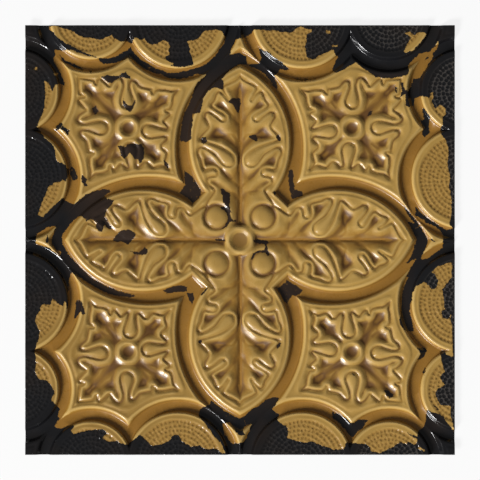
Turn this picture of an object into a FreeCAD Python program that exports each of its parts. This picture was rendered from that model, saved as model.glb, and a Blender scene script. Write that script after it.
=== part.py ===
"""Pressed tin ceiling tile: one square of thin sheet with a stamped relief.

The tile lies face up, centred on the Z axis, and rests on the underside of its grooves at z = 0.
Four pointed petals, four concave-sided medallions and sixteen edge lobes stand proud of a
connecting groove. Petals and medallions have a moulded rim: a steep wall and, above its
shoulder, a gentle bevel. The lobes have one sloped side. Leaves are pressed down into the petals and
rosettes into the medallions, round a hub, eyes and rings that stay at the margin's height.
The solid die face is modelled first. The sheet is that face with a constant depth below it,
as a press leaves it.
"""
import FreeCAD, Part
import math
import os

# Driving sizes in millimetres, each written once.
SIZES = {
    "tile_side": 610,
    "sheet_thickness": 0.38,
    "panel_rise": 8,
    "wall_rise": 5,
    "wall_run": 4.2,
    "bevel_run": 6.6,
    "petal_tip": 251.7,
    "petal_belly": 138.3,
    "petal_half_width": 76.1,
    "collar_tip": 267.6,
    "collar_belly": 129.4,
    "collar_half_width": 86.7,
    "diamond_reach": 122.3,
    "inner_lobe_offset": 88.2,
    "inner_lobe_radius": 72.5,
    "outer_lobe_offset": 211.9,
    "outer_lobe_radius": 59.7,
    "lobe_overhang": 10.5,
    "lobe_groove": 12.8,
    "lobe_rim_run": 8.5,
    "medallion_centre": 158.5,
    "cup_radius": 12,
    "cup_depth": 4,
    "ring_radius": 13.5,
    "rosette_reach": 72,
    "rosette_depth": 2.5,
    "leaf_length": 234,
    "leaf_depth": 2.3,
    "fold_depth": 4.9,
    "fold_half_width": 38,
    "outline_flare": 1.8,
    "hub_radius": 17.5,
    "dish_radius": 15.5,
    "dish_depth": 1.9,
    "eye_offset": 33,
    "eye_radius": 9,
    "eye_drop": 3.3,
    "eye_spread": 7.5,
}

# Room for the die body below the lowest groove and for tools that run past a face.
DIE_DEPTH = 4
OVERRUN = 0.5

ROUND_SIDES = 12
QUARTERS = range(4)
SIDES = (1, -1)

# Half the outline of a petal's leaf, along the petal and out from its axis, in hundredths of the
# leaf's length.
LEAF_OUTLINE = [
    (2.6, 6.8), (12, 16.2), (21.4, 17.9), (29.7, 15.6), (35, 20.2), (39.2, 13.9), (42.7, 14.5),
    (43.2, 22.4), (54, 26), (56, 20.5), (45.7, 9.6), (46.2, 3.8), (51, 4.1), (56, 11.4), (61.6, 24.2),
    (68.8, 19), (76, 21.3), (76.9, 16.2), (73.2, 9.6), (82.2, 17.6), (91, 12.3), (96.2, 4.7), (100, 0),
]
# Half the outline of a medallion's rosette about its middle, from the tip nearest the hub round to the
# corner tip, in hundredths of the rosette's reach. The other half mirrors it across the tile's diagonal.
ROSETTE_OUTLINE = [
    (-83, -83), (-45, -72), (-17.8, -77), (-17.4, -38.5), (-5.5, -29.8), (6.4, -40.5), (-2, -76),
    (25.7, -80), (38, -82), (75, -99.7), (76.4, -62), (69, -49.4), (95, -5.4), (54, -11), (39.8, 1),
    (54, 13.4), (94, 9.4), (84, 36.5), (98.8, 56.4), (88, 63), (98.8, 98.8),
]

doc = FreeCAD.newDocument("ceiling_tile")
sheet = doc.addObject("Spreadsheet::Sheet", "sizes")
for row, (alias, value) in enumerate(SIZES.items(), start=1):
    sheet.set(f"A{row}", alias)
    sheet.set(f"B{row}", str(value))
    sheet.setAlias(f"B{row}", alias)
doc.recompute()

# Heights and runs that several features share, as expressions on the sheet.
FLOOR = "sizes.sheet_thickness"
SHOULDER = f"({FLOOR} + sizes.wall_rise)"
MARGIN = f"({FLOOR} + sizes.panel_rise)"
BEVEL_RISE = "(sizes.panel_rise - sizes.wall_rise)"
WALL_FLARE = f"({OVERRUN} * sizes.wall_run / sizes.wall_rise)"
BEVEL_FLARE = f"({OVERRUN} * sizes.bevel_run / {BEVEL_RISE})"
RIM = "(sizes.wall_run + sizes.bevel_run)"
HALF_SIDE = "(sizes.tile_side / 2)"
LOBE_FLARE = f"({OVERRUN} * sizes.lobe_rim_run / sizes.panel_rise)"


def size(alias):
    return float(sheet.get(alias))


def bind(feature, **expressions):
    for name, expression in expressions.items():
        feature.setExpression(name, str(expression))
    return feature


def place(feature, x, y, z):
    for axis, expression in zip("xyz", (x, y, z)):
        feature.setExpression(f"Placement.Base.{axis}", str(expression))
    return feature


def turned(along, across, quarter):
    """Plan position of a point given along and across the axis of one quarter."""
    back = (f"-({along})", f"-({across})")
    ways = ((along, across), (back[1], along), back, (across, back[0]))
    return ways[quarter]


def frustum(name, spot, bottom, height, bottom_radius, top_radius):
    cone = doc.addObject("Part::Cone", name)
    bind(cone, Radius1=bottom_radius, Radius2=top_radius, Height=height)
    return place(cone, *spot, bottom)


def combine(kind, name, shapes):
    feature = doc.addObject(kind, name)
    feature.Shapes = shapes
    return feature


def raised_rim(name, spot, radius):
    """Wall and bevel of a raised round panel with its edge at radius on the groove floor."""
    wall = frustum(f"{name}_wall", spot, f"{FLOOR} - {OVERRUN}", f"sizes.wall_rise + {OVERRUN}",
                   f"{radius} + {WALL_FLARE}", f"{radius} - sizes.wall_run")
    bevel = frustum(f"{name}_bevel", spot, SHOULDER, BEVEL_RISE, f"{radius} - sizes.wall_run",
                    f"{radius} - {RIM}")
    return wall, bevel


def sunk_rim(name, spot, radius):
    """Cutters for a groove whose far edge is at radius on the groove floor, with wall and bevel beyond."""
    wall = frustum(f"{name}_wall", spot, FLOOR, "sizes.wall_rise", radius, f"{radius} + sizes.wall_run")
    bevel = frustum(f"{name}_bevel", spot, SHOULDER, f"{BEVEL_RISE} + {OVERRUN}",
                    f"{radius} + sizes.wall_run", f"{radius} + {RIM} + {BEVEL_FLARE}")
    return wall, bevel


def lens(name, rim, tip, belly, half_width, quarter):
    """Pointed petal plan: what two round forms, one from each side of the axis, have in common."""
    radius = f"((({tip} - {belly})^2 + {half_width}^2) / (2 * {half_width}))"
    halves = []
    for side in SIDES:
        spot = turned(belly, f"{side} * ({radius} - {half_width})", quarter)
        halves.append(rim(f"{name}_{'left' if side > 0 else 'right'}", spot, radius))
    levels = zip(*halves)
    return [combine("Part::MultiCommon", f"{name}_level{level}", pair) for level, pair in enumerate(levels)]


def block(name, bottom, height):
    """Square prism of the tile's plan."""
    box = doc.addObject("Part::Box", name)
    bind(box, Length="sizes.tile_side", Width="sizes.tile_side", Height=height)
    return place(box, f"-{HALF_SIDE}", f"-{HALF_SIDE}", bottom)


def diamond_level(name, bottom, height, bottom_inset, top_inset):
    """Square frustum set cornerwise, which closes the angle between neighbouring petals."""
    half = "sizes.diamond_reach * sqrt(0.5)"
    wedge = doc.addObject("Part::Wedge", name)
    bind(wedge, Xmin=f"-({half} - {bottom_inset})", Xmax=f"{half} - {bottom_inset}",
         Zmin=f"-({half} - {bottom_inset})", Zmax=f"{half} - {bottom_inset}",
         X2min=f"-({half} - {top_inset})", X2max=f"{half} - {top_inset}",
         Z2min=f"-({half} - {top_inset})", Z2max=f"{half} - {top_inset}", Ymin="0", Ymax=height)
    upright = FreeCAD.Rotation(FreeCAD.Vector(1, 0, 0), 90)
    cornerwise = FreeCAD.Rotation(FreeCAD.Vector(0, 0, 1), 45)
    wedge.Placement = FreeCAD.Placement(FreeCAD.Vector(), cornerwise.multiply(upright))
    return place(wedge, "0", "0", bottom)


def margin_height():
    return size("sheet_thickness") + size("panel_rise")


def solid_between(name, quarter, low, high):
    """Solid with flat sides between two outlines of equal count, turned to its quarter of the tile."""
    turn = FreeCAD.Rotation(FreeCAD.Vector(0, 0, 1), 90 * quarter)
    low = [turn.multVec(FreeCAD.Vector(*point)) for point in low]
    high = [turn.multVec(FreeCAD.Vector(*point)) for point in high]
    faces = [Part.Face(Part.makePolygon(outline + outline[:1])) for outline in (low, high)]
    for first in range(len(low)):
        second = (first + 1) % len(low)
        corners = [low[first], low[second], high[second], high[first]]
        faces.append(Part.Face(Part.makePolygon(corners + corners[:1])))
    feature = doc.addObject("Part::Feature", name)
    feature.Shape = Part.Solid(Part.Shell(faces))
    return feature


def grown(outline, distance):
    """The closed outline with each side moved outward by the distance."""
    area = sum(ax * by - bx * ay for (ax, ay), (bx, by) in zip(outline, outline[1:] + outline[:1]))
    outward = math.copysign(1, area)
    sides = []
    for (ax, ay), (bx, by) in zip(outline, outline[1:] + outline[:1]):
        length = math.hypot(bx - ax, by - ay)
        sides.append((outward * (by - ay) / length, outward * (ax - bx) / length))
    moved = []
    for (x, y), (ux, uy), (vx, vy) in zip(outline, sides[-1:] + sides[:-1], sides):
        share = distance / (1 + ux * vx + uy * vy)
        moved.append((x + share * (ux + vx), y + share * (uy + vy)))
    return moved


def pan(name, outline, quarter, depth):
    """Hollow with a flat floor, whose sides slope at half a right angle out to the outline and its flare."""
    levels = []
    for below in (depth, -OVERRUN):
        height = margin_height() - below
        levels.append([(x, y, height) for x, y in grown(outline, size("outline_flare") - below)])
    return solid_between(name, quarter, *levels)


def circle(spot, radius, height):
    """Corners of a faceted circle about the spot."""
    corners = []
    for number in range(ROUND_SIDES):
        angle = 2 * math.pi * number / ROUND_SIDES
        corners.append((spot[0] + radius * math.cos(angle), spot[1] + radius * math.sin(angle), height))
    return corners


def pit(name, spot, quarter, radius, depth):
    """Faceted round hollow that falls from its rim in the margin to one point under the spot."""
    turn = FreeCAD.Rotation(FreeCAD.Vector(0, 0, 1), 90 * quarter)
    deepest = FreeCAD.Vector(*spot, margin_height() - depth)
    reach = radius * (1 + OVERRUN / depth)
    rim = [FreeCAD.Vector(*corner) for corner in circle(spot, reach, margin_height() + OVERRUN)]
    rim = [turn.multVec(corner) for corner in rim]
    deepest = turn.multVec(deepest)
    flanks = zip(rim, rim[1:] + rim[:1])
    faces = [Part.Face(Part.makePolygon([first, second, deepest, first])) for first, second in flanks]
    faces.append(Part.Face(Part.makePolygon(rim + rim[:1])))
    feature = doc.addObject("Part::Feature", name)
    feature.Shape = Part.Solid(Part.Shell(faces))
    return feature


def island(name, spot, quarter, top_radius, slope):
    """Faceted round form left standing in a hollow, wider toward its foot by the slope."""
    levels = []
    for below in (size("fold_depth") + OVERRUN, -OVERRUN):
        levels.append(circle(spot, top_radius + slope * below, margin_height() - below))
    return solid_between(name, quarter, *levels)


def carved(name, hollow, islands):
    feature = doc.addObject("Part::Cut", name)
    feature.Base = hollow
    feature.Tool = islands
    return feature


def leaf(name, quarter):
    """Hollow of one petal's leaf: its floor falls from the outline to a fold along the petal's axis."""
    scale = size("leaf_length") / 100
    half = [(along * scale, out * scale) for along, out in LEAF_OUTLINE]
    outline = half + [(along, -out) for along, out in half[-2::-1]]
    sides = pan(f"{name}_sides", outline, quarter, size("fold_depth") + OVERRUN)
    margin = margin_height()
    edge = margin - size("leaf_depth")
    reach = size("leaf_length")
    top = margin + 2 * OVERRUN
    width = size("fold_half_width")
    section = [(-reach, top), (reach, top), (reach, edge), (width, edge), (0, margin - size("fold_depth")),
               (-width, edge), (-reach, edge)]
    ends = [[(along, out, height) for out, height in section] for along in (-reach, 2 * reach)]
    return combine("Part::MultiCommon", name, [sides, solid_between(f"{name}_floor", quarter, *ends)])


def rosette(name, quarter):
    """Hollow of a medallion's rosette, the same on both sides of the tile's diagonal."""
    scale = size("rosette_reach") / 100
    half = [(x * scale, y * scale) for x, y in ROSETTE_OUTLINE]
    middle = size("medallion_centre")
    outline = half + [(y, x) for x, y in half[-2:0:-1]]
    outline = [(x + middle, y + middle) for x, y in outline]
    return pan(name, outline, quarter, size("rosette_depth"))


# Raised petals and the cutters that part them from the medallions.
petals = []
collars = []
for quarter in QUARTERS:
    petals += lens(f"petal{quarter}", raised_rim, "sizes.petal_tip", "sizes.petal_belly",
                   "sizes.petal_half_width", quarter)
    collars += lens(f"collar{quarter}", sunk_rim, "sizes.collar_tip", "sizes.collar_belly",
                    "sizes.collar_half_width", quarter)

# Diamond that joins the petals round the middle.
petals.append(diamond_level("diamond_wall", f"{FLOOR} - {OVERRUN}", f"sizes.wall_rise + {OVERRUN}",
                            f"(-{WALL_FLARE})", "sizes.wall_run"))
petals.append(diamond_level("diamond_bevel", SHOULDER, BEVEL_RISE, "sizes.wall_run", RIM))

# Round lobes along the edges, which the tile's edge cuts, and their grooves.
lobes = []
for quarter in QUARTERS:
    for kind in ("inner", "outer"):
        for side in SIDES:
            name = f"{kind}_lobe{quarter}_{'left' if side > 0 else 'right'}"
            spot = turned(f"{HALF_SIDE} + sizes.lobe_overhang", f"{side} * sizes.{kind}_lobe_offset",
                          quarter)
            radius = f"sizes.{kind}_lobe_radius"
            lobes.append(frustum(name, spot, f"{FLOOR} - {OVERRUN}", f"sizes.panel_rise + {OVERRUN}",
                                 f"{radius} + {LOBE_FLARE}", f"{radius} - sizes.lobe_rim_run"))
            collars += sunk_rim(f"{name}_groove", spot, f"({radius} + sizes.lobe_groove)")

# Hollows pressed into the petals and medallions, with the hub, eyes and rings left standing in them.
leaves = []
standing = [island("hub", (0, 0), 0, size("hub_radius"), 1)]
hollows = []
eye = (size("eye_offset"), size("eye_offset"))
eye_slope = size("eye_spread") / size("eye_drop")
middle = (size("medallion_centre"), size("medallion_centre"))
for quarter in QUARTERS:
    leaves.append(leaf(f"leaf{quarter}", quarter))
    standing.append(island(f"eye{quarter}", eye, quarter, size("eye_radius"), eye_slope))
    ring = island(f"ring{quarter}", middle, quarter, size("ring_radius"), 1)
    hollows.append(carved(f"medallion{quarter}", rosette(f"rosette{quarter}", quarter), ring))
    hollows.append(pit(f"cup{quarter}", middle, quarter, size("cup_radius"), size("cup_depth")))
hollows.append(carved("leaf_field", combine("Part::MultiFuse", "leaves", leaves),
                      combine("Part::MultiFuse", "standing", standing)))
hollows.append(pit("dish", (0, 0), 0, size("dish_radius"), size("dish_depth")))

# Die face: a slab at margin height, grooved, with the panels set back in and the leaves hollowed out.
slab = block("slab", f"-{DIE_DEPTH}", f"{MARGIN} + {DIE_DEPTH}")
ground = doc.addObject("Part::Cut", "ground")
ground.Base = slab
ground.Tool = combine("Part::MultiFuse", "grooves", collars)
column = block("tile_column", f"-{DIE_DEPTH}", f"{MARGIN} + {DIE_DEPTH} + {OVERRUN}")
whole_lobes = combine("Part::MultiFuse", "whole_lobes", lobes)
edge_lobes = combine("Part::MultiCommon", "edge_lobes", [whole_lobes, column])
raised_petals = combine("Part::MultiFuse", "petals", petals)
panels = combine("Part::MultiFuse", "panels", [ground, raised_petals, edge_lobes])
die = doc.addObject("Part::Cut", "die")
die.Base = panels
die.Tool = combine("Part::MultiFuse", "hollows", hollows)
die.Refine = True

# The sheet keeps its depth below every point of the die face.
lowered = doc.addObject("Part::Compound", "lowered_die")
lowered.Links = [die]
place(lowered, "0", "0", "-sizes.sheet_thickness")
tile = doc.addObject("Part::Cut", "tile_sheet")
tile.Base = die
tile.Tool = lowered
doc.recompute()

failed = [item.Name for item in doc.Objects if {"Invalid", "Error"} & set(item.State)]
if failed:
    raise RuntimeError(f"objects failed to build: {failed}")
shape = tile.Shape
if shape.isNull() or not shape.isValid() or len(shape.Solids) != 1:
    raise RuntimeError("the tile is not one valid solid")

os.makedirs("parts", exist_ok=True)
shape.exportStep(f"parts/{tile.Label}.step")
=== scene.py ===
"""Looks of the pressed tin ceiling tile: its full relief, worn gold paint over black, and the studio."""
import math

import bpy
import numpy as np
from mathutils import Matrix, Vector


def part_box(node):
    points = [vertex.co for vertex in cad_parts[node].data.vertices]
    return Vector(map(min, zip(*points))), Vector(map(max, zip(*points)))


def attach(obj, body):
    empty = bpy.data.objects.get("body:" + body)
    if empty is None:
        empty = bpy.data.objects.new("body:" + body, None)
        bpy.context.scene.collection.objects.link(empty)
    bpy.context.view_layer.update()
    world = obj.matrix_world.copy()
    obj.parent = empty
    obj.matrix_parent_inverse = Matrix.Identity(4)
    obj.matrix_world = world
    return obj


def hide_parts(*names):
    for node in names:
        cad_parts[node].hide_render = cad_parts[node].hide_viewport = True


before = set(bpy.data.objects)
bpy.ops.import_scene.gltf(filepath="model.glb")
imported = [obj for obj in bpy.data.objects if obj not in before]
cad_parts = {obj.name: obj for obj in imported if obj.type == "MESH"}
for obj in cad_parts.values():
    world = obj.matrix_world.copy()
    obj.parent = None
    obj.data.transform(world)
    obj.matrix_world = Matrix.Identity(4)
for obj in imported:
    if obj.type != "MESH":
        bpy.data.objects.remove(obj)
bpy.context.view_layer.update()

NODE = "tile_sheet"
BODY = "root"

# Plan lengths are in pixels of the photo from the tile's centre, x to the right and y up.
TILE_PIXELS = 429.0
HALF = TILE_PIXELS / 2
FRAME_PIXELS = 480
LOW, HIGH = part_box(NODE)
PIXEL = (HIGH.x - LOW.x) / TILE_PIXELS

# Heights and depths are in millimetres, heights above the groove floor.
MILLIMETRE = 0.001
SHEET = 0.38
MARGIN = 8.0
# Further in than a panel's wall, no hollow goes below this height.
WALL_WIDTH = 3.6
FLOOR_LEAST = 0.2
# The least that a length is taken as, where something is divided by it.
TINY = 1e-12

# Section of a panel's rim, in from its edge: a steep wall, two beads with a crease between, a wide roll.
WALL_SECTION = [
    (0.0, 0.0), (1.0, 0.8), (2.8, 4.0), (4.0, 5.6), (5.0, 6.15), (6.0, 6.1), (6.9, 5.8), (7.6, 5.75),
]
BEAD_SECTION = [
    (6.9, 0.0), (7.6, 0.3), (8.6, 0.95), (9.6, 1.15), (10.6, 1.1), (11.8, 1.0), (14.0, 1.2), (21.0, 1.9),
]
CUSP_SOFTNESS = 14.0
# Section of a lobe: the same two beads about a stippled field.
LOBE_SECTION = [
    (0.0, 0.0), (0.8, 0.9), (2.0, 4.9), (2.9, 6.6), (3.8, 7.05), (4.8, 6.95), (5.6, 6.7), (6.3, 6.7),
    (7.4, 6.95), (8.6, 6.85), (10.0, 6.6), (12.0, 6.5), (20.0, 6.5),
]

# Petals, the collar that keeps the medallions off them, and the square middle.
PETAL = dict(tip=177.0, belly=97.3, half_width=53.5)
COLLAR = dict(tip=188.2, belly=91.0, half_width=61.0)
DIAMOND_REACH = 86.0
# Lobes cut off by the tile's edge: each one's place along the edge and its radius.
LOBES = ((62.0, 52.2), (149.0, 43.2))
LOBE_OVERHANG = 7.4
LOBE_GROOVE = 7.8
# Dimples of the lobes, in rows. They wander along their row and across it, in waves by row and by angle.
STIPPLE_PITCH = 4.2
STIPPLE_RADIUS = 1.5
STIPPLE_DEPTH = 1.55
STIPPLE_INSET = 11.4
STIPPLE_EDGE = 3.5
STIPPLE_FADE = 2.0
RUN_WANDER = 0.9
RUN_WAVES = (3.0, 5.0)
ROW_WANDER = 0.5
ROW_WAVES = (2.0, 7.0)

# Section about an ornament's outline: a rolled shoulder, a ditch, the ornament's lip, and its hollow bed.
SHOULDER = 5.2
DITCH = 2.8
DITCH_INSET = 0.3
LIP_WIDTH = 2.5
LIP_DEPTH = 0.8
LIP_LEVEL = 0.2
CREST_DEPTH = 0.2
BED_WIDTH = 7.5
FLANK_WIDTH = 6.3
LEAF_BED = 2.0
LEAF_SOFTNESS = 5.0
ROSETTE_BED = 3.5
ROSETTE_SOFTNESS = 8.0
MERGED_SHARE = 0.35
VEIN_WIDTH = 1.7
LEAF_VEIN = 0.5
ROSETTE_VEIN = 0.25

# The hub's dish, and the eyes beside it with the arc that each leaf's outline takes round one.
HUB_CREST = 11.6
HUB_DISH = 11.8
HUB_WALL = 5.6
HUB_DEPTH = 3.0
EYE = (23.2, 23.2)
EYE_RADIUS = 11.6
EYE_ARC = (225.0, 405.0)
EYE_PARTS = 18
EYE_SHOULDER = 9.0
EYE_DITCH = 3.7
EYE_LIP_DEPTH = 2.8
EYE_REACH = 5.5
EYE_FADE = 5.0
BULGE = 0.6
BULGE_REACH = 25.0

# The fold along the leaf's middle, with a crease at its bottom.
FOLD = 4.4
FOLD_REACH = 15.0
FOLD_SHARPNESS = 1.3
FOLD_START = 10.5
FOLD_RUN_IN = 5.5
FOLD_END = 172.0
FOLD_RUN_OUT = 30.0
CREASE = 1.2
CREASE_WIDTH = 2.4

# Half of one petal's leaf, from the eye beside the hub to the tip: along the petal, then across it.
LEAF_EDGE = [
    (34.8, 34.2), (40.4, 31.4), (44.7, 28.2), (49.0, 25.6), (51.8, 26.8), (55.0, 31.6), (58.8, 33.3),
    (62.4, 31.9), (64.0, 27.6), (64.4, 24.4), (66.6, 22.4), (69.6, 23.4), (71.2, 26.6), (70.6, 31.2),
    (70.0, 34.6), (72.9, 37.6), (80.4, 39.3), (86.0, 42.2), (90.6, 42.0), (93.2, 38.6), (91.6, 33.4),
    (86.0, 24.6), (79.4, 19.6), (75.2, 15.6), (74.0, 10.6), (75.6, 7.0), (78.6, 5.6), (83.4, 6.4),
    (88.0, 11.0), (92.6, 18.6), (96.0, 27.6), (98.2, 35.4), (100.0, 39.4), (103.0, 39.6), (106.6, 36.8),
    (111.0, 32.4), (114.3, 31.2), (118.6, 33.0), (122.6, 35.2), (126.6, 34.8), (128.4, 31.2),
    (126.2, 26.6), (122.6, 22.0), (119.6, 18.4), (119.8, 15.2), (122.8, 13.8), (126.2, 17.4),
    (129.8, 23.8), (132.8, 28.0), (136.0, 28.8), (140.2, 25.8), (146.4, 23.6), (148.6, 20.6),
    (145.4, 15.8), (139.4, 11.6), (143.0, 13.2), (149.4, 16.6), (152.8, 17.0), (155.2, 14.2),
    (157.8, 8.6), (160.6, 3.4), (164.8, 0.0),
]
# Where the half outline goes back along the petal's axis.
LEAF_CLOSING = [(0.0, 0.0)]
# Hollows: along, across, radius and depth.
LEAF_CUPS = [
    (78.5, 34.0, 6.0, 2.4), (106.0, 23.5, 7.5, 3.4), (133.5, 20.5, 6.5, 2.6), (149.5, 9.0, 6.0, 1.4),
    (57.0, 27.0, 5.5, 1.6), (88.0, 36.0, 4.5, 1.0), (101.0, 32.0, 5.0, 1.2),
]
# Broad valleys: width, depth and course.
LEAF_VALLEYS = [
    (5.0, 2.8, [(106.0, 21.0), (102.0, 13.0), (95.0, 5.0)]),
    (4.5, 2.4, [(133.0, 18.5), (127.0, 11.5), (119.0, 4.5)]),
    (4.5, 2.4, [(78.5, 31.0), (71.0, 20.0), (62.0, 9.0)]),
    (4.0, 1.8, [(56.0, 25.0), (50.0, 14.0), (44.0, 5.0)]),
    (2.6, 1.0, [(114.0, 29.0), (110.5, 25.0), (107.0, 22.0)]),
]
LEAF_VEINS = [
    [(49.0, 22.0), (48.6, 12.0), (46.9, 6.5), (42.5, 2.7), (36.0, 0.4)],
    [(71.0, 18.6), (64.2, 13.5), (58.8, 7.6), (53.4, 1.4)],
    [(104.5, 20.0), (105.6, 10.0), (103.6, 5.6), (95.8, 0.8)],
    [(136.5, 18.4), (130.5, 13.0), (125.0, 7.6), (117.5, 2.2)],
]

# A medallion's middle, the reach of its rosette, and the ring and cup in the middle.
MEDALLION = 111.8
ROSETTE_REACH = 85.0
RING_CREST = 9.6
CUP_RADIUS = 8.8
CUP_DEPTH = 4.6
# Half of the rosette from its cup, out along one tile axis and the other: from the tip nearest the hub to
# the tip at the tile's corner.
ROSETTE_EDGE = [
    (-41.5, -42.0), (-34.5, -37.5), (-26.0, -39.6), (-22.5, -37.4), (-19.5, -34.2), (-16.0, -34.6),
    (-12.0, -38.8), (-9.0, -38.8), (-7.6, -35.5), (-8.4, -28.8), (-9.2, -22.0), (-7.2, -17.0),
    (-2.6, -14.9), (2.0, -17.0), (3.2, -21.5), (1.6, -28.0), (-0.4, -34.0), (-1.2, -38.5), (0.6, -40.4),
    (3.8, -38.2), (7.0, -36.2), (10.2, -39.4), (13.0, -42.0), (15.8, -40.8), (17.6, -38.0),
    (19.4, -42.4), (25.0, -45.0), (32.5, -46.2), (38.3, -50.6), (37.4, -44.0), (38.8, -36.5),
    (38.8, -30.0), (36.8, -26.6), (34.6, -24.8), (39.0, -23.8), (40.2, -18.8), (42.0, -12.5),
    (46.8, -8.2), (48.0, -4.2), (46.0, -1.7), (41.0, -1.3), (34.5, -3.3), (27.4, -5.6), (22.5, -4.0),
    (20.2, 0.4), (22.0, 5.0), (27.4, 6.8), (35.0, 5.5), (42.7, 3.7), (48.8, 5.3), (51.0, 8.8),
    (49.2, 13.0), (45.0, 16.4), (42.4, 18.4), (46.4, 23.3), (49.8, 27.6), (48.0, 30.6), (44.0, 31.6),
    (48.2, 34.2), (49.6, 41.0), (50.2, 49.6),
]
# Where the half outline goes back past the tile's diagonal.
ROSETTE_CLOSING = [(45.0, 55.0), (-50.0, -40.0)]
ROSETTE_CUPS = [
    (38.2, 38.2, 9.0, 2.4), (26.6, -33.4, 9.0, 2.4), (32.0, -15.0, 6.0, 1.8), (-27.0, -27.0, 8.0, 2.2),
    (9.0, -28.0, 4.5, 1.6), (34.5, 19.0, 5.0, 1.8), (42.0, 11.0, 4.0, 1.0), (43.0, -9.0, 4.0, 1.0),
]
ROSETTE_VALLEYS = [
    (4.5, 1.2, [(12.5, 12.5), (34.0, 34.0)]),
    (4.5, 1.2, [(11.5, -12.0), (17.0, -20.0), (23.0, -29.0)]),
    (4.0, 1.1, [(-12.0, -12.0), (-28.0, -28.0)]),
    (2.2, 0.9, [(17.6, -36.0), (14.5, -28.0), (12.0, -20.0)]),
    (2.2, 0.9, [(36.0, -24.0), (28.0, -21.0), (20.0, -16.0)]),
    (2.2, 0.9, [(42.0, 18.4), (32.0, 16.5), (20.0, 13.5)]),
    (2.0, 0.8, [(-20.0, -33.0), (-18.5, -25.0), (-14.0, -16.0)]),
]
ROSETTE_VEINS = [
    [(11.0, 11.0), (36.0, 36.0)],
    [(11.0, -11.5), (17.0, -19.5), (24.0, -30.0)],
    [(-11.0, -11.0), (-34.0, -34.0)],
]

# Where the gold paint has stayed, in the photo's own pixels, read off from the top left round.
PAINT_TOP = [
    (45, 81), (48.4, 82.5), (52.6, 92.4), (55, 85), (61, 84), (65.6, 87), (63.3, 80), (59.5, 71.7),
    (54, 62), (53, 58.7), (55.7, 54.5), (54, 49.5), (62, 50.7), (71, 50), (80, 53.4), (87, 55.7),
    (98.5, 58.7), (103, 64), (112, 64), (122, 61), (128.4, 58), (132, 59.5), (143.5, 68.7), (154, 72.5),
    (165, 75.6), (168, 78.6), (178, 79), (185.6, 78), (193, 75.6), (198, 73.3), (200, 74.8), (208, 74),
    (204, 78), (197, 83), (194.8, 88), (191.7, 97), (189.4, 103), (185.6, 111), (182.5, 117.7),
    (181, 129), (179.4, 140), (185.6, 142.4), (191, 140), (191.7, 129), (193, 121.5), (192.5, 114),
    (199.4, 113.5), (202.4, 106), (203, 99), (208, 91.6), (214.7, 87.4), (217.7, 88.6), (223, 90),
    (224, 85.5), (222.3, 78.6), (228.4, 71.7), (234.5, 67), (240.7, 64), (246, 65), (255, 68),
    (263, 72.5), (269, 78.6), (273, 85.5), (278.3, 91), (276.7, 83), (274.4, 76), (277.5, 73.3),
    (280, 69), (287.4, 70.6), (289, 68.7), (283, 63.3), (276, 58.7), (269, 52.6), (263, 50.3),
    (258.7, 47.3), (261.4, 58.7), (259, 63.7), (247, 63.9), (246, 56.4), (239, 53), (229.2, 55.3),
    (232.3, 48), (235.3, 40.4), (246, 37), (251.5, 33.5), (254, 30), (278, 30.8), (280, 32.3),
    (292, 32.7), (296.6, 28), (301, 26.6), (306.6, 29.3), (312, 29.7), (311, 33), (306.6, 34), (306, 42),
    (305, 49), (306.6, 57), (313.5, 60.3), (319, 55.7), (325, 53.4), (333.4, 50.3), (335, 55),
    (338.7, 57), (335, 62), (334, 66.4), (332, 68.7), (335, 73.3), (342, 71), (348.7, 66.4), (356, 62.6),
    (363, 68.7), (373, 74.8), (376, 77.5), (390.5, 78.6), (400, 77), (407, 74.8), (409, 71.5),
]
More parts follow.
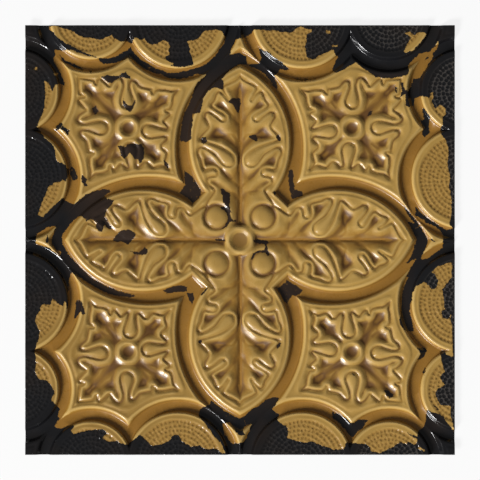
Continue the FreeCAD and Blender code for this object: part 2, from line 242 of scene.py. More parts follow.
PAINT_RIGHT = [
    (408, 65), (415, 58), (419.6, 53.4), (429.5, 51.8), (435, 46.5), (438, 40.4), (438.3, 46.5),
    (432.6, 54), (433.4, 56.4), (428.8, 63.3), (424, 71.7), (419, 78.6), (413.5, 78.6), (411, 86.3),
    (408, 91.6), (404.3, 90), (403, 83), (401, 82.5), (400.5, 87), (402, 91), (399, 98), (405, 94),
    (405, 104.7), (406.6, 107), (413.5, 106), (414.6, 98.5), (420.4, 96), (427, 97), (429, 98.5),
    (431, 93), (433, 91.6), (432, 102.4), (435, 109), (440, 105), (445.6, 109), (445.6, 115.4),
    (442, 117), (442.5, 124), (440.3, 127), (440.3, 134), (445.6, 140), (448.7, 152), (447, 162),
    (448, 169), (450, 178), (449, 187), (451, 199), (451.7, 213), (448.7, 223), (452.5, 229), (447, 230),
    (439.5, 226), (428, 218.5), (419, 211), (415, 206), (415.4, 215.4), (421, 218.5), (426.5, 223),
    (435.7, 226.5), (442, 232.3), (443, 240.7), (442.5, 247.7), (437, 251.5), (430, 257), (422.7, 260),
    (420, 258.7), (422.7, 254), (425.7, 247.7), (428, 241.4), (424, 232.3), (419, 224), (413.5, 223),
    (406.6, 221.5), (411, 227), (413.5, 233), (416.5, 240), (413.5, 248.4), (412, 254), (406, 263),
    (409, 263), (412, 260), (416, 259), (406, 276.4), (407.7, 277.5), (405, 283.6), (402, 293.6),
    (401, 313.5), (399, 322.7), (403.5, 329.5), (407, 332), (414, 331), (412, 320.4), (409.3, 310.4),
    (411, 303), (412.7, 292), (416.5, 286), (425.7, 281.3), (428, 285), (432, 289.7), (436.4, 287.4),
    (438, 280), (435, 274.4), (431, 271.4), (438.7, 266), (447, 263), (452.5, 262), (451, 277.5),
    (445.6, 284.4), (442, 289.7), (443.3, 298), (444.5, 309), (441, 311), (442, 317.3), (448, 319.6),
    (451, 314), (450, 320.4), (451.7, 324), (452.5, 356.5), (446.4, 354.5), (445, 350.7), (439.5, 350.7),
    (441, 360), (444, 371.4), (439.5, 376.7), (444, 384.4), (435.7, 390.5), (435, 395), (440.3, 405),
    (450, 406), (450.6, 417), (453.3, 425.7), (454, 431.5), (448.7, 424), (443.3, 416.5), (438.7, 413.5),
    (432, 412.3), (426.5, 409), (425.7, 421), (422.7, 428),
]
PAINT_BOTTOM = [
    (418, 431), (416.5, 436.4), (407, 432), (409, 435), (416.5, 438.7), (416, 444.8), (406.6, 441),
    (406.6, 444.5), (399.7, 441.4), (393.6, 446.4), (386, 449.4), (380.6, 452.5), (372, 451.7),
    (370, 447), (366, 443.7), (358.4, 443.3), (346.4, 442), (343.3, 448.7), (335, 449.4), (321, 445),
    (311, 441), (303.5, 442.5), (293.6, 439.5), (286.7, 438), (288.6, 430.3), (286, 425.7), (280, 422.7),
    (277.5, 419.6), (279, 414), (272, 409.6), (276.7, 403.5), (279, 398.5), (274.4, 396.6),
    (265.3, 399.7), (258.4, 406.6), (253, 408), (247, 414), (239, 418.8), (224.6, 411), (214.7, 403),
    (211, 400.5), (209.3, 405), (203, 407.3), (200, 409), (198.6, 416), (203, 421), (208.5, 428),
    (216, 438), (222.3, 444.8), (225, 452.5), (221.5, 452.5), (218, 448.7), (212.4, 448), (204.7, 449),
    (200, 444.8), (191, 446.4), (181.7, 440.3), (178, 434), (172.6, 435), (169.5, 440.3), (162, 444),
    (151, 445.6), (146, 439.5), (139.7, 434.5), (131.4, 441), (127.6, 444.5), (117, 441), (107, 441),
    (103, 438), (107, 432.6), (104, 428.8), (98.5, 428.8), (82, 431), (74, 434), (71, 430.3),
    (76.3, 425), (69.4, 425), (60.3, 428.8), (54.5, 426.5), (56.4, 422),
]
PAINT_LEFT = [
    (61, 418.8), (57.6, 415.8), (60.3, 409), (56.4, 405), (52.6, 400.5), (52.6, 396.6), (55.7, 393),
    (53.4, 387.4), (48, 381.3), (43.4, 379), (39.6, 379), (35.4, 371.4), (36.5, 365), (36, 359),
    (35.4, 350.7), (36.5, 345), (38.5, 339.5), (40.4, 332), (38, 327), (35, 320.4), (37.3, 314),
    (41, 309.6), (40.4, 306.6), (44, 303.5), (48, 304.7), (52, 303.5), (52.6, 299), (55, 299.7),
    (57, 303), (63.3, 306), (65, 301), (67, 303), (67, 311), (69, 305), (68.3, 293.6), (68.7, 283),
    (71, 272), (78.6, 276.7), (85.5, 281.3), (94.7, 286.7), (103, 291.3), (110, 294.3), (121.5, 296.6),
    (130.7, 297.4), (136.8, 295), (125.3, 293), (116, 289.7), (104.7, 285), (92.4, 278.3), (83, 270),
    (75.6, 262), (68, 254), (62.6, 244), (62, 235.3), (69.4, 225.4), (75, 219), (80, 216), (86.3, 219),
    (85.5, 221.5), (91.6, 219), (97, 223), (96, 226), (98.5, 231.5), (102.4, 232.3), (105, 224.6),
    (109, 229), (113, 229), (107.7, 221), (104.7, 217.7), (107, 210), (111, 205.5), (115, 200),
    (107, 198.6), (104.7, 195.5), (111.5, 191), (104.7, 189), (94.7, 191), (87, 194), (80, 199.3),
    (74, 204.7), (66.4, 201), (64, 197), (55, 204.7), (48, 211.6), (43.4, 217), (37.7, 214.7),
    (40.4, 208.5), (44, 198.6), (46.5, 193), (48, 188), (52, 184.8), (54, 182.5), (61, 181.7),
    (62.6, 180), (65.6, 181.7), (69.4, 175), (69, 170.3), (67, 167), (63.3, 163.4), (56.4, 161),
    (56, 155), (55, 149), (52.6, 144), (47.3, 140.4), (40.4, 132), (37.7, 127), (39.6, 120.7), (44, 111),
    (45.7, 98.5), (45, 85.5),
]
# Patches of paint left out in the bare border.
PAINT_ISLANDS = {
    "top left lobes": [
        (48.4, 27), (54, 25.8), (65, 29), (71, 30.4), (77, 34), (82.5, 37.3), (95.5, 38.5), (99.3, 40.4),
        (106, 37.7), (112.7, 35), (114, 38.5), (122.3, 42.3), (125.3, 41), (131.4, 43.8), (134.5, 38),
        (142.7, 40), (144.6, 37.7), (146.5, 42.7), (152, 45.3), (158, 44), (163.4, 41), (168.7, 42),
        (170, 47.3), (168.7, 51), (169.5, 55), (165.7, 57), (166, 60), (173.3, 63.7), (171, 66),
        (178, 67.5), (185.6, 67), (193, 65), (193, 60.3), (191, 55.7), (189.4, 48), (187.5, 41.5),
        (197, 39.6), (201, 36), (204.7, 30.8), (217, 30), (222.7, 32.3), (225.4, 38), (224, 43.4),
        (218.5, 51), (214.7, 56.4), (208.5, 62), (202.4, 66), (193, 68.7), (185.6, 71), (178, 72.5),
        (170, 73), (165, 71.4), (155, 68), (147.3, 63.3), (139.7, 58.7), (133.5, 52.6), (130.7, 46.5),
        (128.4, 49.6), (121.5, 52.6), (117.7, 55.7), (113, 57.6), (104.7, 58.4), (95.5, 57), (87, 53.4),
        (80, 51), (74, 47.3), (65, 42.7), (58, 38), (52.6, 32),
    ],
    "top right lobe": [
        (404.7, 33.5), (409, 32), (414, 35.4), (418, 32.3), (425, 32.7), (426.5, 34.6), (420.4, 42.7),
        (412.7, 50.3), (405, 53.4), (403.5, 51.5), (407, 45.7), (409, 41), (411, 37.3),
    ],
    "bottom point": [
        (223, 423.4), (230, 422), (234, 428), (237, 433.4), (240, 435.7), (244.5, 434.5), (243, 429.5),
        (247, 425), (251.4, 424), (249, 432), (244.5, 442), (233, 444), (230, 441), (224, 434),
    ],
    "left point": [
        (56.4, 225.7), (49, 227), (36.5, 234), (36, 244.5), (47.3, 247), (55.7, 253), (59.5, 257),
        (62, 252), (57, 250), (51.5, 245.3), (52, 237), (55, 230),
    ],
    "right corner": [(417, 445.6), (425.7, 449.4), (423.4, 451.4), (418, 448)],
    "top dash": [(326.5, 30.4), (331, 31), (330, 34), (326, 33.5)],
    "second dash": [(331.4, 45.3), (338, 45), (337, 47.2), (332, 47.4)],
    "left crumb": [(34.5, 68.5), (37.5, 66.5), (37, 70), (34.8, 70.5)],
    "upper crumb": [(54.5, 73.5), (58, 73), (57.5, 76), (55, 76)],
}
# Places inside the paint where it has flaked off.
FLAKES = {
    "top left strip": [
        (58.7, 53.4), (65, 60), (71.7, 63), (82.5, 68), (83, 70.6), (78.6, 69.4), (71, 65.6), (63, 61.5),
    ],
    "top left nick": [(88.6, 70), (93, 71), (91, 73.3)],
    "upper left rosette": [
        (101, 77), (106, 75), (112, 75.6), (119, 75.6), (126, 71.7), (128.4, 75), (131.4, 79),
        (127, 78.6), (123, 77), (116, 79.4), (112.3, 83), (108.5, 83), (104.7, 80),
    ],
    "drop end": [
        (122.3, 102.4), (123.8, 97.4), (125.3, 103), (129, 106), (133, 104), (135, 99), (136, 102.4),
        (130.7, 113), (125.3, 108.5),
    ],
    "rosette spot": [
        (92.4, 108.5), (96, 104.7), (97.4, 109), (100, 111), (97, 113), (95.5, 115.4), (93, 111.5),
    ],
    "left rim": [
        (55, 127), (61, 121.5), (64, 127), (70, 130.7), (68.7, 136), (65, 132), (60.3, 128.4),
        (55.7, 131.4),
    ],
    "left groove": [
        (71, 165.7), (75, 169.5), (78, 176.4), (77, 179.5), (72.5, 180.6), (70.6, 175.6), (69.4, 170.3),
    ],
    "left ridge": [
        (81.7, 173.7), (85, 177), (87.4, 179.5), (86.3, 182.5), (88, 185.6), (85, 187), (81.7, 181.7),
    ],
    "brown drop": [
        (117.5, 146), (120.4, 145.4), (126.3, 147.6), (127.7, 144), (134.3, 143.6), (143, 144.7),
        (144.6, 152), (144, 159.3), (140, 164.5), (138.7, 160), (133.6, 158), (130, 152.7),
        (127.7, 156.4), (124, 159.3), (121, 155.7), (120.4, 150),
    ],
    "rosette corner": [(163.7, 158), (169.5, 167.4), (167.3, 169), (164.4, 165)],
    "left petal": [
        (113, 240), (115.4, 235.3), (121.5, 230.7), (130.7, 229.6), (137, 234), (133, 239),
        (128.4, 244.5), (123, 241.4), (115.4, 241.4),
    ],
    "left petal nick": [(112.5, 219.5), (114, 219.5), (117, 223), (114.5, 222.5)],
    "left petal moss": [(130, 251), (139, 252), (145, 247), (148, 250), (147, 254.5), (138, 255)],
    "left cusp hole": [(48, 234.6), (49, 239), (47.3, 243.7), (45, 240)],
    "lower left fork": [
        (76.3, 299.7), (81.7, 300.5), (85.5, 313.5), (83, 315), (81, 311), (77, 316.5), (73.3, 321),
        (75, 313.5),
    ],
    "lower groove": [
        (162, 290.5), (170, 287), (182, 285), (187.5, 287), (187, 291.5), (176, 292), (168, 293.5),
    ],
    "lower left notch": [(187, 293), (193, 293), (194.5, 299), (192, 304), (189, 300)],
    "lower left edge": [(200, 295), (204, 290), (209, 286), (207, 290), (202, 295.5)],
    "upper left notch": [
        (184, 170), (193, 177), (202, 192), (199, 198), (193, 204), (188, 198), (179, 193), (185, 185),
    ],
    "upper left line": [
        (220.3, 189), (223, 188.6), (226, 191.5), (230.3, 193), (229.5, 205), (231, 212), (229.8, 214),
        (231, 218.5), (236.5, 220), (235, 222), (231, 221.5), (227, 227), (219, 230.2), (225, 225.5),
        (228, 220), (227, 213), (219, 206.5), (226, 207), (223, 202), (222.5, 195),
    ],
    "top petal": [
        (228.4, 102.4), (230.7, 98), (240.7, 98), (240.7, 103), (239, 113), (237, 113), (234, 105.4),
    ],
    "top petal eye": [
        (249.2, 136), (252, 134.5), (256.5, 135.5), (257.5, 141.5), (255.5, 142.5), (254, 139.5),
        (250, 139),
    ],
    "top petal side": [(201, 137.5), (206, 137), (207, 141), (204, 144.5), (201.5, 142)],
    "right of top petal": [(276, 136), (279, 134.5), (281.3, 140), (279, 142), (277, 139)],
    "upper right notch": [
        (288.5, 171), (293, 169.5), (294, 176), (293.4, 182), (295, 190), (301.5, 191), (304, 195),
        (299, 196.6), (292.8, 199.3), (291, 196), (289.5, 186), (288, 180),
    ],
    "upper right spot": [(272.5, 192.5), (275, 191), (276.5, 194), (274, 195.6)],
    "upper groove line": [
        (292, 78), (300, 78.6), (308, 79.4), (319, 78.6), (317, 80), (306, 81), (297, 80.4),
    ],
    "strip hole": [(424, 60), (428, 56), (429, 57.6), (425.5, 60.8)],
    "corner cup": [(394.5, 88), (396, 86.5), (398, 89.5), (397, 93.5), (395, 92)],
    "upper right vein": [(366.5, 115), (370, 111), (373, 110.5), (371, 114.5), (368, 117)],
    "right groove": [
        (423.4, 107), (426.5, 112.3), (430.3, 117), (428.8, 124), (429.5, 133), (425, 137.6),
        (422, 134.5), (422.7, 127.6), (420.4, 120.7), (424, 119), (422.3, 111.5),
    ],
    "right ridge": [
        (403, 204.5), (408, 210), (415, 219), (420.5, 228), (418.8, 229), (411.5, 219.5), (405.5, 211),
    ],
    "right point": [(429.5, 238.5), (431.5, 238.8), (435, 241.5), (432, 242.3)],
    "hub right": [
        (252.5, 240), (258, 239.3), (268, 241), (268.5, 243), (266.5, 244), (267.5, 249), (270, 255),
        (268, 255.5), (265, 252.5), (260, 252), (255.5, 254), (252.5, 260), (251, 259), (253, 253.5),
        (257.5, 250.5), (264, 250), (265, 246), (263.5, 243.5), (256, 243),
    ],
    "hub left": [(214.5, 239), (219, 238.6), (226, 239.6), (224, 241), (216, 241)],
    "lower right notch": [
        (277, 289), (282, 285), (287, 280), (290, 282), (303, 290), (300, 294), (296, 296), (292, 295),
        (287, 304), (284, 301),
    ],
    "bottom petal side": [(275.5, 346.5), (278, 343.5), (281, 342.5), (280.5, 346), (277.5, 348.5)],
    "bottom petal left": [(198.2, 340), (201, 339.6), (202, 342.5), (199.5, 343.5)],
    "right lobe groove": [
        (417.3, 348.4), (425, 347.3), (427, 350.7), (423.4, 357), (419, 360.7), (417.3, 359),
        (420.4, 354),
    ],
    "right lobe rim": [(425, 367), (426, 369), (423.4, 375.6), (421.5, 375), (423, 370.6)],
    "lower right cup": [
        (383.6, 389.7), (387.4, 390), (392.8, 393.6), (393.6, 397.4), (389, 398), (386, 395),
    ],
    "lower right drop": [(348.4, 374), (353, 372.9), (355.3, 375.5), (351.5, 374.8)],
    "bottom notch": [
        (332, 411), (338, 413.5), (345, 417.5), (350, 422), (353, 422.7), (357.6, 419.6), (363.7, 419),
        (367.6, 420.4), (363, 428), (355.3, 434), (352.5, 438), (349, 435), (344, 428), (337, 421),
        (332, 417.3),
    ],
    "lower lobe rim": [(433, 405), (436, 406), (439.5, 409.5), (438, 410.5)],
}

# The face is drawn on a fine grid, thinned where it is plain, and given an underside one sheet below.
GRID = 640
GRID_END = 0.001
FACE_TRIANGLES = 95000
FACE_FINISH = 0
BACK_FINISH = 1
# The thinning keeps to the paint's edge as if it were a step of this height and width.
PAINT_STEP = 0.8
PAINT_STEP_WIDTH = 2.0
PAINT_REACH = 10.0
# Spreads of the two smoothed faces that tell hollows and creases from ridges.
BROAD_SPREAD = 7.0
FINE_SPREAD = 1.8
BLUR_SPREADS = 3

# Colours of the paint, its dirt, its painted shade and painted highlights, the coat below with painted
# glints, and the back.
GOLD = (0.45, 0.275, 0.070, 1.0)
WORN_GOLD = (0.385, 0.226, 0.052, 1.0)
# Painted shade: the paint is darker towards the lower left, in patches.
SIDE_SHADE_GOLD = (0.27, 0.152, 0.034, 1.0)
# Dirt and painted shade: browner down the walls and darker brown on the groove floors.
WALL_SHADE_GOLD = (0.34, 0.178, 0.031, 1.0)
GROOVE_SHADE_GOLD = (0.27, 0.130, 0.020, 1.0)
# Dirt and painted shade in the hollows.
HOLLOW_DIRT_AND_SHADE = (0.120, 0.050, 0.008, 1.0)
# Painted shade along the creases.
CREASE_SHADE = (0.24, 0.120, 0.022, 1.0)
# Painted highlight: lighter paint on the ridges.
RIDGE_HIGHLIGHT_GOLD = (0.50, 0.32, 0.098, 1.0)
STIPPLE_GOLD = (0.33, 0.185, 0.042, 1.0)
# Painted shade in the dimples of the stipple.
DIMPLE_SHADE_GOLD = (0.28, 0.152, 0.032, 1.0)
BLACK = (0.008, 0.008, 0.009, 1.0)
WARM_BLACK = (0.014, 0.010, 0.008, 1.0)
BROWN_BLACK = (0.026, 0.016, 0.011, 1.0)
# Painted glints: grey on the stipple's crests in the black, more towards the right.
GLINT_GREY = (0.095, 0.084, 0.074, 1.0)
TIN = (0.30, 0.29, 0.27, 1.0)
DARK_TIN = (0.20, 0.19, 0.175, 1.0)
RUST = (0.15, 0.06, 0.025, 1.0)
# Where each tint starts and where it is full: depths in millimetres, the border in pixels, sides in metres.
WALL_DEPTHS = (2.4, 5.2)
GROOVE_DEPTHS = (5.6, 7.0)
HOLLOW_DEPTHS = (0.15, 1.5)
CREASE_DEPTHS = (0.3, 2.2)
RIDGE_DEPTHS = (-0.1, -0.7)
DIMPLE_DEPTHS = (0.0, 0.4)
GLINT_DEPTHS = (-0.1, -0.5)
BROWN_BORDER = (38.0, 66.0)
GLINT_SIDE = (0.0, 0.28)
SIDE_SHADE_RANGE = (0.10, -0.30)
# Shares of some tints at the two ends of their range, and how far the side with painted shade leans.
CREASE_SHARES = (0.45, 1.0)
STIPPLE_SHARES = (0.0, 0.7)
GLINT_SHARES = (0.12, 0.8)
SIDE_SHADE_SHARES = (0.0, 0.95)
SIDE_SHADE_PATCHES = (0.5, 1.0)
SIDE_SHADE_SLANT = 0.5
# The paint's ragged edge in pixels, its gloss, and the heights of its film and grain in metres.
RAGGED = (-1.0, 1.0)
EDGE_BLUR = (-0.25, 0.25)
ROUGHNESSES = (0.17, 0.30)
DIRT_ROUGHNESSES = (0.0, 0.22)
ROUGHNESS_SWING = (-0.06, 0.06)
FILM_STRENGTH = 0.5
FILM_HEIGHT = 0.0002
GRAIN_STRENGTH = 0.10
GRAIN_HEIGHT = 0.0005
# Metallic and roughness of the back, from tin to rust.
BACK_METALLICS = (0.7, 0.0)
BACK_ROUGHNESSES = (0.45, 0.85)

# The studio, in metres and watts: one lamp low at the lower left, a faint white sky, and a white floor.
KEY_PLACE = (-7.5, -8.1, 6.1)
KEY_SIZE = 3.6
KEY_POWER = 2640.0
WHITE = (1.0, 1.0, 1.0, 1.0)
SKY_STRENGTH = 0.13
FLOOR_HALF = 6.0
FLOOR_DROP = 0.0003
FLOOR_COLOUR = (0.8, 0.8, 0.8, 1.0)
FLOOR_GLOW = 0.85
CAMERA_HEIGHT = 4.5
SENSOR_WIDTH = 36.0


def smooth(t):
    """Share from 0 to 1 that eases in and out."""
    t = np.clip(t, 0.0, 1.0)
    return t * t * (3.0 - 2.0 * t)


def curve_through(points, parts=4):
    """Points of a smooth open curve through the given ones."""
    points = np.array(points, float)
    ends = np.vstack([2 * points[0] - points[1], points, 2 * points[-1] - points[-2]])
    rows = []
    for before, start, stop, after in zip(ends, ends[1:], ends[2:], ends[3:]):
        bend = 2 * before - 5 * start + 4 * stop - after
        turn = 3 * start - before - 3 * stop + after
        for t in np.arange(parts) / parts:
            rows.append(0.5 * (2 * start + (stop - before) * t + bend * t ** 2 + turn * t ** 3))
    rows.append(points[-1])
    return np.array(rows)


def distance_to_line(x, y, line):
    """Distance from each point to an open line of many short runs."""
    best = np.full(x.shape, np.inf)
    for start, stop in zip(line, line[1:]):
        run = stop - start
        from_x = x - start[0]
        from_y = y - start[1]
        share = np.clip((from_x * run[0] + from_y * run[1]) / max(run @ run, TINY), 0.0, 1.0)
        best = np.minimum(best, (from_x - share * run[0]) ** 2 + (from_y - share * run[1]) ** 2)
    return np.sqrt(best)


def inside(x, y, ring):
    """True for each point inside a closed ring."""
    found = np.zeros(x.shape, bool)
    for (ax, ay), (bx, by) in zip(ring, np.roll(ring, -1, axis=0)):
        if ay == by:
            continue
        crosses = (ay > y) != (by > y)
        found ^= crosses & (x < (bx - ax) * (y - ay) / (by - ay) + ax)
    return found


def signed_distance(x, y, line, closing):
    """Distance to an open line, positive inside the ring that the line and the closing points make."""
    distance = distance_to_line(x, y, line)
    return np.where(inside(x, y, np.vstack([line, closing])), distance, -distance)


def section(distance, points):
    """Height of a smooth section through the points, level beyond its ends."""
    line = curve_through(points)
    return np.interp(distance, line[:, 0], line[:, 1])


def rim(distance, soft_distance):
    """Height of a panel at a distance in from its edge, and one with softer cusps for the bead."""
    return section(distance, WALL_SECTION) + section(soft_distance, BEAD_SECTION)


def least(first, second, softness):
    """The lesser of two fields, rounded off where they are nearly equal."""
    near = np.maximum(softness - np.abs(first - second), 0.0) / softness
    return np.minimum(first, second) - near ** 2 * softness / 4


def lens(along, across, tip, belly, half_width):
    """Distance inside a pointed petal outline."""
    radius = ((tip - belly) ** 2 + half_width ** 2) / (2 * half_width)
    return radius - np.hypot(along - belly, across + radius - half_width)


def pits(along, across, cups):
    """Sum of soft round hollows, each given by its place, radius and depth."""
    total = np.zeros(along.shape)
    for cup_along, cup_across, radius, depth in cups:
        total += depth * np.exp(-((along - cup_along) ** 2 + (across - cup_across) ** 2) / radius ** 2)
    return total


def valleys(along, across, lines):
    """Depth of broad soft valleys, each given by its width, depth and course."""
    total = np.zeros(along.shape)
    for width, depth, line in lines:
        reach = distance_to_line(along, across, curve_through(line))
        total = np.maximum(total, depth * np.exp(-(reach / width) ** 2))
    return total


def veins(along, across, lines):
    """Narrow creases along the given lines, as a share of their full depth."""
    total = np.zeros(along.shape)
    for line in lines:
        reach = distance_to_line(along, across, curve_through(line))
        total = np.maximum(total, np.maximum(0.0, 1.0 - reach / VEIN_WIDTH))
    return total


def merged(first, second):
    """Two depths joined so that the deeper rules."""
    return np.maximum(first, second) + MERGED_SHARE * np.minimum(first, second)


def contour(edge, crest, bed, shoulder=SHOULDER, ditch=DITCH, lip_depth=LIP_DEPTH):
    """Depth about an ornament's outline, at a distance in from its edge.

    The crest is the distance from a form that the bed rises to without a ditch.
    """
    fall = np.clip((edge + shoulder) / (shoulder + DITCH_INSET), 0.0, 1.0) ** 2
    lip = smooth((edge - DITCH_INSET) / LIP_WIDTH)
    sink = smooth(np.minimum((edge - LIP_WIDTH - LIP_LEVEL) / BED_WIDTH, crest / FLANK_WIDTH))
    rise = lip * (1.0 - smooth(crest / FLANK_WIDTH))
    outline = ditch * fall - (ditch - lip_depth) * lip
    return outline - (lip_depth - CREST_DEPTH) * rise + (bed - lip_depth) * sink


def leaf_hollow(along, across):
    """Depth of the leaf's fold, cups, valleys and veins."""
    ends = smooth((along - FOLD_START) / FOLD_RUN_IN) * smooth((FOLD_END - along) / FOLD_RUN_OUT)
    fold = np.maximum(0.0, 1.0 - across / FOLD_REACH) ** FOLD_SHARPNESS * ends
    crease = np.maximum(0.0, 1.0 - across / CREASE_WIDTH) * ends
    cups = merged(pits(along, across, LEAF_CUPS), valleys(along, across, LEAF_VALLEYS))
    lines = CREASE * crease + LEAF_VEIN * veins(along, across, LEAF_VEINS)
    return merged(FOLD * fold, cups) + lines


def leaf_depth(along, across):
    """Depth of the acanthus leaf, the eye beside it and the hub's dish below the petal's margin."""
    angles = np.radians(np.linspace(*EYE_ARC, EYE_PARTS + 1))
    eye = np.column_stack([EYE[0] + EYE_RADIUS * np.cos(angles), EYE[1] + EYE_RADIUS * np.sin(angles)])
    line = np.vstack([eye, curve_through(LEAF_EDGE)])
    edge = signed_distance(along, across, line, LEAF_CLOSING)
    radius = np.hypot(along, across)
    crest = radius - HUB_CREST
    from_eye = np.hypot(along - EYE[0], across - EYE[1])
    bulge = BULGE * np.clip(1.0 - (from_eye / BULGE_REACH) ** 2, 0.0, 1.0)
    within = smooth(edge / LEAF_SOFTNESS) * smooth(crest / FLANK_WIDTH)
    near_eye = smooth((EYE_RADIUS + EYE_REACH - from_eye) / EYE_FADE)
    shoulder = SHOULDER + (EYE_SHOULDER - SHOULDER) * near_eye
    ditch = DITCH + (EYE_DITCH - DITCH) * near_eye
    lip_depth = LIP_DEPTH + (EYE_LIP_DEPTH - LIP_DEPTH) * near_eye
    dish = HUB_DEPTH * smooth((HUB_DISH - radius) / HUB_WALL)
    hollow = within * (leaf_hollow(along, across) - bulge)
    return contour(edge, crest, LEAF_BED, shoulder, ditch, lip_depth) + hollow + dish


def rosette_depth(p, q):
    """Depth of a medallion's rosette below its margin, with the drops and the middle ring left standing."""
    radius = np.hypot(p, q)
    edge = signed_distance(p, q, curve_through(ROSETTE_EDGE), ROSETTE_CLOSING)
    crest = radius - RING_CREST
    within = smooth(edge / ROSETTE_SOFTNESS) * smooth(crest / FLANK_WIDTH)
    hollow = merged(pits(p, q, ROSETTE_CUPS), valleys(p, q, ROSETTE_VALLEYS))
    hollow += ROSETTE_VEIN * veins(p, q, ROSETTE_VEINS)
    cup = CUP_DEPTH * np.clip(1.0 - (radius / CUP_RADIUS) ** 2, 0.0, 1.0)
    return contour(edge, crest, ROSETTE_BED) + within * hollow + cup


def stipple(distance, angle, radius):
    """Depth of the small dimples of a lobe, in staggered rows that follow its rim and wander a little."""
    row = np.round((distance - STIPPLE_INSET) / STIPPLE_PITCH)
    reach = np.maximum(radius - STIPPLE_INSET - row * STIPPLE_PITCH, STIPPLE_PITCH)
    run_wander, row_wander = (
        size * np.sin(by_row * row + by_angle * angle)
        for size, (by_row, by_angle) in ((RUN_WANDER, RUN_WAVES), (ROW_WANDER, ROW_WAVES))
    )
    run = angle * reach + row * STIPPLE_PITCH / 2 + run_wander
    off_run = run - STIPPLE_PITCH * np.round(run / STIPPLE_PITCH)
    off_row = distance - STIPPLE_INSET - row * STIPPLE_PITCH + row_wander
    return STIPPLE_DEPTH * np.exp(-(off_run ** 2 + off_row ** 2) / STIPPLE_RADIUS ** 2) * (row >= 0)


def relief(x, y):
    """Height of the pressed face above the groove floor in millimetres, and where it is stippled."""
    along = np.maximum(np.abs(x), np.abs(y))
    across = np.minimum(np.abs(x), np.abs(y))
    petal = np.maximum(lens(along, across, **PETAL), (DIAMOND_REACH - along - across) / math.sqrt(2))
    ground = -lens(along, across, **COLLAR)
    soft_ground = ground
    lobes = np.zeros(x.shape)
    stippled = np.zeros(x.shape)
    for offset, radius in LOBES:
        out = HALF + LOBE_OVERHANG - along
        side = across - offset
        distance = radius - np.hypot(out, side)
        ground = np.minimum(ground, -distance - LOBE_GROOVE)
        soft_ground = least(soft_ground, -distance - LOBE_GROOVE, CUSP_SOFTNESS)
        lobe = section(distance, LOBE_SECTION) - stipple(distance, np.arctan2(side, out), radius)
        lobes = np.maximum(lobes, lobe)
        stippled = np.maximum(stippled, smooth((distance - STIPPLE_INSET + STIPPLE_EDGE) / STIPPLE_FADE))
    height = np.maximum(np.maximum(rim(petal, petal), rim(ground, soft_ground)), lobes)
    in_petal = petal > 0
    height[in_petal] -= leaf_depth(along[in_petal], across[in_petal])
    p = along - MEDALLION
    q = across - MEDALLION
    in_medallion = (ground > 0) & (np.hypot(p, q) < ROSETTE_REACH)
    height[in_medallion] -= rosette_depth(p[in_medallion], q[in_medallion])
    lifted = (in_petal | in_medallion) & (np.maximum(petal, ground) > WALL_WIDTH)
    height[lifted] = np.maximum(height[lifted], FLOOR_LEAST)
    return np.clip(height, 0.0, MARGIN), stippled


def ring_distance(x, y, points):
    """Distance in from an outline given in the photo's pixels, negative outside it."""
    points = np.array(points, float)
    ring = np.column_stack([points[:, 0] - FRAME_PIXELS / 2, FRAME_PIXELS / 2 - points[:, 1]])
    return signed_distance(x, y, np.vstack([ring, ring[:1]]), ring[:1])


def paint_field(x, y):
    """Distance in from the edge of the gold paint, negative where it has gone."""
    field = ring_distance(x, y, PAINT_TOP + PAINT_RIGHT + PAINT_BOTTOM + PAINT_LEFT)
    for patches, sign, joined in ((PAINT_ISLANDS, 1.0, np.maximum), (FLAKES, -1.0, np.minimum)):
        for points in patches.values():
            left, top = np.min(points, axis=0) - FRAME_PIXELS / 2 - PAINT_REACH
            right, bottom = np.max(points, axis=0) - FRAME_PIXELS / 2 + PAINT_REACH
            near = (x > left) & (x < right) & (-y > top) & (-y < bottom)
            field[near] = joined(field[near], sign * ring_distance(x[near], y[near], points))
    return np.clip(field, -PAINT_REACH, PAINT_REACH)


def blurred(field, spread):
    """The field smoothed over a spread given in pixels of the photo."""
    cells = spread * GRID / TILE_PIXELS
    reach = int(BLUR_SPREADS * cells) + 1
    weights = np.exp(-0.5 * (np.arange(-reach, reach + 1) / cells) ** 2)
    weights /= weights.sum()
    for _ in range(2):
        padded = np.pad(field, ((0, 0), (reach, reach)), mode="edge")
        field = np.array([np.convolve(row, weights, mode="valid") for row in padded]).T
    return field


def sampled(field, places):
    """Value of a grid field at any places on the tile, between its grid points."""
    cells = field.shape[0] - 1
    column, row = np.clip((places[:, :2].T + HALF) / TILE_PIXELS * cells, 0, cells - GRID_END)
    c0 = column.astype(int)
    r0 = row.astype(int)
    c = column - c0
    r = row - r0
    low = field[r0, c0] * (1 - c) + field[r0, c0 + 1] * c
    high = field[r0 + 1, c0] * (1 - c) + field[r0 + 1, c0 + 1] * c
    return low * (1 - r) + high * r


def new_mesh(name, places, corners, sizes):
    """Mesh from its places, the corners of all its faces in a row, and each face's number of corners."""
    mesh = bpy.data.meshes.new(name)
    mesh.vertices.add(len(places))
    mesh.vertices.foreach_set("co", places.astype(np.float32).ravel())
    mesh.loops.add(len(corners))
    mesh.loops.foreach_set("vertex_index", corners.astype(np.int32))
    mesh.polygons.add(len(sizes))
    mesh.polygons.foreach_set("loop_start", (np.cumsum(sizes) - sizes).astype(np.int32))
    mesh.update(calc_edges=True)
    return mesh


def grid_mesh(x, y, heights):
    """Mesh of square cells over the tile, in pixels and millimetres."""
    count = heights.shape[0]
    places = np.column_stack([x.ravel(), y.ravel(), heights.ravel()])
    ticks = np.arange(count - 1)
    first = (ticks[:, None] * count + ticks).ravel()
    quads = np.column_stack([first, first + 1, first + count + 1, first + count])
    return new_mesh("tile_face", places, quads.ravel(), np.full(len(quads), 4))


